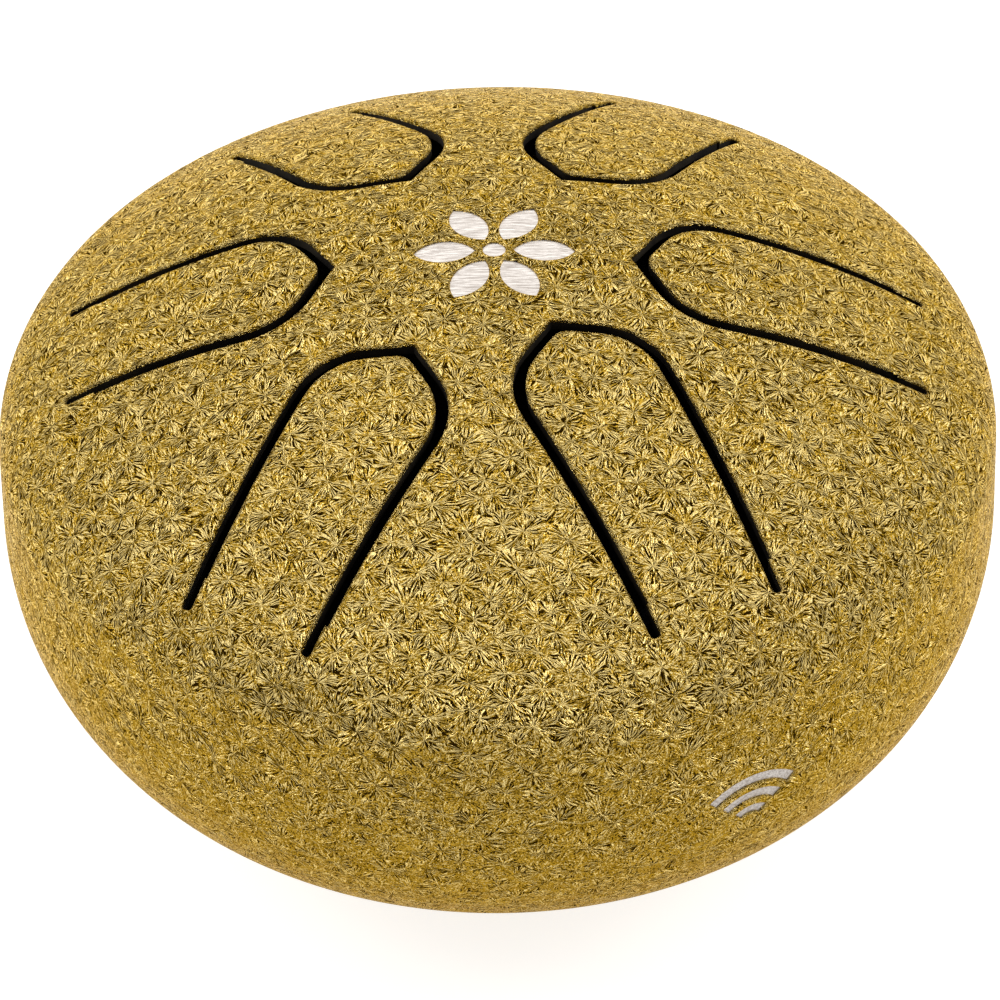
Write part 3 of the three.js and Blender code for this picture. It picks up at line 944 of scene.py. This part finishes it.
def gold_coat():
    """Metallic gold wrinkle powder coat, with painted highlights on its ridges and painted shade in its
    valleys.
    """
    shader = Shader("gold_wrinkle_coat")
    place = shader.millimetres()
    ridges, crease, distance = star_wrinkles(shader, place)
    grain = shader.noise(place, GRAINS_PER_MM, 0.0)
    swell = shader.noise(place, SWELLS_PER_MM, 3.0, 0.55)
    patches = shader.noise(place, QUIET_PATCHES_PER_MM, 1.0)
    strength = shader.ramp(patches, 0.40, 0.60, QUIET_SHARE * RIDGE_HEIGHT, RIDGE_HEIGHT)
    normal = shader.tree.nodes.new("ShaderNodeNewGeometry").outputs["Normal"]
    upright = shader.node("ShaderNodeSeparateXYZ", None, Vector=normal).outputs["Z"]
    strength = shader.math("MULTIPLY", strength, shader.ramp(upright, -0.1, 0.25, SIDE_SHARE, 1.0))
    relief = shader.math("MULTIPLY", shader.math("SUBTRACT", ridges, 0.5), strength)
    grain_relief = shader.math("MULTIPLY", shader.math("SUBTRACT", grain, 0.5), GRAIN_HEIGHT)
    relief = shader.math("ADD", relief, grain_relief)
    relief = shader.math("ADD", relief, shader.math("MULTIPLY", crease, CREASE_HEIGHT))
    body = shader.mix(shader.ramp(swell, 0.35, 0.65), BODY_DARK, BODY_LIGHT)
    # painted highlight: where the relief is high, the crests are lightened towards cream
    colour = shader.mix(shader.ramp(relief, CREST_HIGHLIGHT_LOW, CREST_HIGHLIGHT_HIGH), body, CREST_HIGHLIGHT)
    # painted shade: where the relief is low, the valleys are darkened towards black
    painted_valley_shade = shader.ramp(relief, VALLEY_SHADE_LOW, VALLEY_SHADE_HIGH, 1.0, 0.0)
    colour = shader.mix(painted_valley_shade, colour, VALLEY_SHADE)
    shader.put(shader.surface.inputs["Base Color"], colour)
    # the painted valley shade isn't metallic, so that it stays dark: a dark metal would turn grey at grazing
    # angles
    shader.put(shader.surface.inputs["Metallic"], shader.ramp(painted_valley_shade, 0.0, 0.6, 0.95, 0.0))
    shader.put(shader.surface.inputs["Specular IOR Level"], 0.0)
    shader.put(shader.surface.inputs["Specular Tint"], GRAZING_TINT)
    shader.put(shader.surface.inputs["Roughness"], shader.ramp(grain, 0.3, 0.7, 0.30, 0.24))
    fall = shader.math("POWER", shader.math("DIVIDE", distance, PILLOW_REACH), 2.0)
    height = shader.math("ADD", relief, shader.math("MULTIPLY", swell, SWELL_HEIGHT))
    height = shader.math("SUBTRACT", height, shader.math("MULTIPLY", fall, PILLOW_HEIGHT))
    bump = shader.node("ShaderNodeBump", None, Height=height, Distance=COAT_DEPTH, Strength=1.0)
    shader.put(shader.surface.inputs["Normal"], bump.outputs[0])
    return shader.material


def brushed_steel():
    """Bare steel with fine slanting scratches."""
    shader = Shader("bare_brushed_steel")
    place = shader.millimetres()
    turned = shader.node("ShaderNodeMapping", None, Vector=place)
    turned.inputs["Rotation"].default_value = (0, 0, math.radians(-35))
    turned.inputs["Scale"].default_value = (0.5, 9, 9)
    scratches = shader.noise(turned.outputs[0], 1.0, 3.0, 0.7)
    stain = shader.noise(place, 0.8, 3.0, 0.6)
    colour = shader.mix(shader.ramp(scratches, 0.35, 0.65), STEEL_DARK, STEEL_LIGHT)
    colour = shader.mix(shader.ramp(stain, 0.5, 0.75, 0.0, 0.25), colour, STEEL_STAIN)
    shader.put(shader.surface.inputs["Base Color"], colour)
    shader.put(shader.surface.inputs["Metallic"], 0.85)
    shader.put(shader.surface.inputs["Roughness"], shader.ramp(scratches, 0.3, 0.7, 0.5, 0.34))
    bump = shader.node("ShaderNodeBump", None, Height=scratches, Distance=0.02 * MM, Strength=1.0)
    shader.put(shader.surface.inputs["Normal"], bump.outputs[0])
    return shader.material


def inside_steel():
    """Near-black painted shade for the shells' insides and the slots' lower walls, with a faint cloudy
    variation.
    """
    shader = Shader("inside_steel")
    place = shader.millimetres()
    cloud = shader.noise(place, 0.25, 4.0, 0.6)
    speck = shader.noise(place, 6.0, 2.0, 0.6)
    colour = shader.mix(shader.ramp(cloud, 0.4, 0.65), INSIDE_SHADE_DARK, INSIDE_SHADE_LIGHT)
    shader.put(shader.surface.inputs["Base Color"], colour)
    shader.put(shader.surface.inputs["Specular IOR Level"], 0.2)
    shader.put(shader.surface.inputs["Roughness"], shader.ramp(speck, 0.3, 0.7, 0.6, 0.8))
    bump = shader.node("ShaderNodeBump", None, Height=speck, Distance=0.03 * MM, Strength=0.7)
    shader.put(shader.surface.inputs["Normal"], bump.outputs[0])
    return shader.material


def black_rubber():
    """Moulded rubber with a fine matt grain and a little dust."""
    shader = Shader("black_moulded_rubber")
    place = shader.millimetres()
    grain = shader.noise(place, 9.0, 3.0, 0.6)
    dust = shader.noise(place, 1.3, 4.0, 0.6)
    colour = shader.mix(shader.ramp(dust, 0.5, 0.8), RUBBER_CLEAN, RUBBER_DUSTY)
    shader.put(shader.surface.inputs["Base Color"], colour)
    shader.put(shader.surface.inputs["Roughness"], shader.ramp(grain, 0.3, 0.7, 0.62, 0.8))
    bump = shader.node("ShaderNodeBump", None, Height=grain, Distance=0.03 * MM, Strength=0.8)
    shader.put(shader.surface.inputs["Normal"], bump.outputs[0])
    return shader.material


def floor_paint():
    """Pale studio floor, brighter to the camera than to the drum it carries, and clear from below."""
    shader = Shader("pale_floor")
    place = shader.millimetres()
    cloud = shader.noise(place, 0.01, 2.0, 0.5)
    colour = shader.mix(cloud, FLOOR_DARK, FLOOR_LIGHT)
    shader.put(shader.surface.inputs["Base Color"], colour)
    shader.put(shader.surface.inputs["Roughness"], 0.8)
    shader.put(shader.surface.inputs["Emission Color"], (1, 1, 1, 1))
    camera_ray = shader.tree.nodes.new("ShaderNodeLightPath").outputs["Is Camera Ray"]
    glow = shader.ramp(camera_ray, 0.0, 1.0, FLOOR_BOUNCE, FLOOR_GLOW)
    shader.put(shader.surface.inputs["Emission Strength"], glow)
    from_below = shader.tree.nodes.new("ShaderNodeNewGeometry").outputs["Backfacing"]
    sides = shader.tree.nodes.new("ShaderNodeMixShader")
    shader.put(sides.inputs[0], from_below)
    shader.put(sides.inputs[1], shader.surface.outputs[0])
    shader.put(sides.inputs[2], shader.tree.nodes.new("ShaderNodeBsdfTransparent").outputs[0])
    shader.put(shader.tree.nodes["Material Output"].inputs["Surface"], sides.outputs[0])
    return shader.material


# ---------- studio ----------
def build_floor():
    """One square of floor under the drum."""
    size = FLOOR_HALF_SIDE
    corners = [(-size, -size, 0), (size, -size, 0), (size, size, 0), (-size, size, 0)]
    mesh = bpy.data.meshes.new("floor")
    mesh.from_pydata(corners, [], [(0, 1, 2, 3)])
    floor = bpy.data.objects.new("floor", mesh)
    mesh.materials.append(floor_paint())
    bpy.context.scene.collection.objects.link(floor)


def add_softbox(name, place, target):
    """A square lamp that faces its target."""
    light = bpy.data.lights.new(name, "AREA")
    light.shape = "RECTANGLE"
    light.size = SOFTBOX_SIDE
    light.size_y = SOFTBOX_SIDE
    light.energy = SOFTBOX_POWER
    lamp = bpy.data.objects.new(name, light)
    lamp.location = place
    lamp.rotation_euler = (Vector(target) - Vector(place)).to_track_quat("-Z", "Y").to_euler()
    bpy.context.scene.collection.objects.link(lamp)


def light_studio():
    """A softbox on each side, inside the studio's own light."""
    middle = (0, 0, SEAM_LEVEL)
    add_softbox("left_box", (-SOFTBOX_REACH, SOFTBOX_BACK, SOFTBOX_LEVEL), middle)
    add_softbox("right_box", (SOFTBOX_REACH, SOFTBOX_BACK, SOFTBOX_LEVEL), middle)
    bpy.context.scene.view_settings.view_transform = "Standard"
    bpy.context.scene.world = studio_world()


def studio_world():
    """Bright behind and above, dimmer in front and along the horizon; plain white to the camera."""
    world = bpy.data.worlds.new("studio")
    world.use_nodes = True
    tree = world.node_tree
    background = tree.nodes["Background"]
    background.inputs["Color"].default_value = (1, 1, 1, 1)
    direction = tree.nodes.new("ShaderNodeTexCoord").outputs["Generated"]
    parts = tree.nodes.new("ShaderNodeSeparateXYZ")
    tree.links.new(direction, parts.inputs[0])

    def fade(value, low, high, start, end):
        """As Shader.ramp, for the world's own tree."""
        made = tree.nodes.new("ShaderNodeMapRange")
        made.interpolation_type = "SMOOTHSTEP"
        tree.links.new(value, made.inputs["Value"])
        for name, number in (("From Min", low), ("From Max", high), ("To Min", start), ("To Max", end)):
            made.inputs[name].default_value = number
        return made.outputs["Result"]

    glow = tree.nodes.new("ShaderNodeMath")
    glow.operation = "MULTIPLY"
    tree.links.new(fade(parts.outputs["Y"], FADE_LOW, FADE_HIGH, FRONT_GLOW, REAR_GLOW), glow.inputs[0])
    tree.links.new(fade(parts.outputs["Z"], 0.0, HORIZON_TOP, HORIZON_SHARE, 1.0), glow.inputs[1])
    camera_ray = tree.nodes.new("ShaderNodeLightPath").outputs["Is Camera Ray"]
    seen = tree.nodes.new("ShaderNodeMix")
    tree.links.new(camera_ray, seen.inputs[0])
    tree.links.new(glow.outputs[0], seen.inputs[2])
    seen.inputs[3].default_value = 1.0
    tree.links.new(seen.outputs[0], background.inputs["Strength"])
    return world


def aim_camera():
    """Looks down at the drum from in front, nearly flat perspective, turned a little about its own axis."""
    target = Vector((0, 0, SEAM_LEVEL - CAMERA_AIM_DROP * DRUM_RADIUS))
    away = Vector((0, -math.cos(CAMERA_ELEVATION), math.sin(CAMERA_ELEVATION)))
    facing = (-away).to_track_quat("-Z", "Y").to_matrix().to_4x4()
    turn = facing @ Matrix.Rotation(CAMERA_ROLL, 4, "Z")
    data = bpy.data.cameras.new("camera")
    data.sensor_width = CAMERA_SENSOR
    data.lens = CAMERA_LENS
    data.shift_x = CAMERA_SHIFT_X
    data.shift_y = CAMERA_SHIFT_Y
    data.clip_start = CAMERA_CLIP_START
    camera = bpy.data.objects.new("camera", data)
    camera.matrix_world = Matrix.Translation(target + away * CAMERA_DISTANCE * DRUM_RADIUS) @ turn
    bpy.context.scene.collection.objects.link(camera)
    bpy.context.scene.camera = camera


# ---------- assembly ----------
def add_top(tongues, drum_body, coat, inside_shade):
    """The upper shell and the tongues, each parted from the shell across its root."""
    plan = TopPlan(tongues)
    shell = build_shell(plan, coat, inside_shade)
    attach(shell, drum_body)
    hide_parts("upper_shell")
    for n, tongue in enumerate(tongues):
        plate = build_plate(plan, n, tongue, coat, inside_shade)
        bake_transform(plate)
        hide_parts(tongue.node)


def add_bottom(drum_body, coat, inside_shade):
    """The bowl and the weld that joins it to the upper shell."""
    bowl = build_bowl(coat, inside_shade)
    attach(bowl, drum_body)
    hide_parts("lower_shell")

    weld = build_weld(coat)
    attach(weld, drum_body)
    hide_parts("seam_weld")


def add_marks(drum_body, steel):
    """The bare steel of the rosette and of the side mark."""
    rosette = build_steel_patch("rosette_bare_steel", rosette_outlines(), above, ROSETTE_STEP, steel)
    strokes = [stroke_outline(radius) for radius in SIDE_MARK_ARC_RADII]
    side_mark = build_steel_patch("side_mark_bare_steel", strokes, mark_place, SIDE_MARK_STEP, steel)
    for mark in (rosette, side_mark):
        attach(mark, drum_body)


def add_feet(drum_body, rubber):
    """One rubber foot for each of the CAD's."""
    for node in sorted(frame["nodes"]):
        if node.startswith("foot_"):
            foot = build_foot(node, rubber)
            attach(foot, drum_body)
            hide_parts(node)


def main():
    coat = gold_coat()
    steel = brushed_steel()
    rubber = black_rubber()
    # the near-black painted shade of the insides and the slot walls
    inside_shade = inside_steel()
    tongues = [Tongue(joint) for joint in frame["joints"]]
    drum_body = tongues[0].parent
    add_top(tongues, drum_body, coat, inside_shade)
    add_bottom(drum_body, coat, inside_shade)
    add_marks(drum_body, steel)
    add_feet(drum_body, rubber)
    build_floor()
    light_studio()
    aim_camera()


main()
